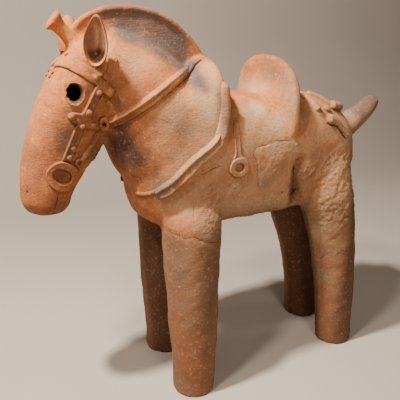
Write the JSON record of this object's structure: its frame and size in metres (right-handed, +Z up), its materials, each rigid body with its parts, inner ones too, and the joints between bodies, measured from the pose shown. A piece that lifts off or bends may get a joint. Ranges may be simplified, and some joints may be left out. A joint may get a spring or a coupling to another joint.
{
  "type": "haniwa horse",
  "caption": "Saddled clay horse on four tube legs, with a crested mane, cupped ears, harness straps, studs and rings, and an upturned tail.",
  "frame": {"origin": "on the floor, under the middle of the bounding box", "axes": "-X is the way the horse faces, -Y is its left side, +Z is up"},
  "size_m": [0.9024, 0.2966, 0.86],
  "materials": {
    "terracotta": "matt, low-fired unglazed clay"
  },
  "bodies": {
    "root": {"haniwa_horse": "terracotta"}
  },
  "joints": []
}
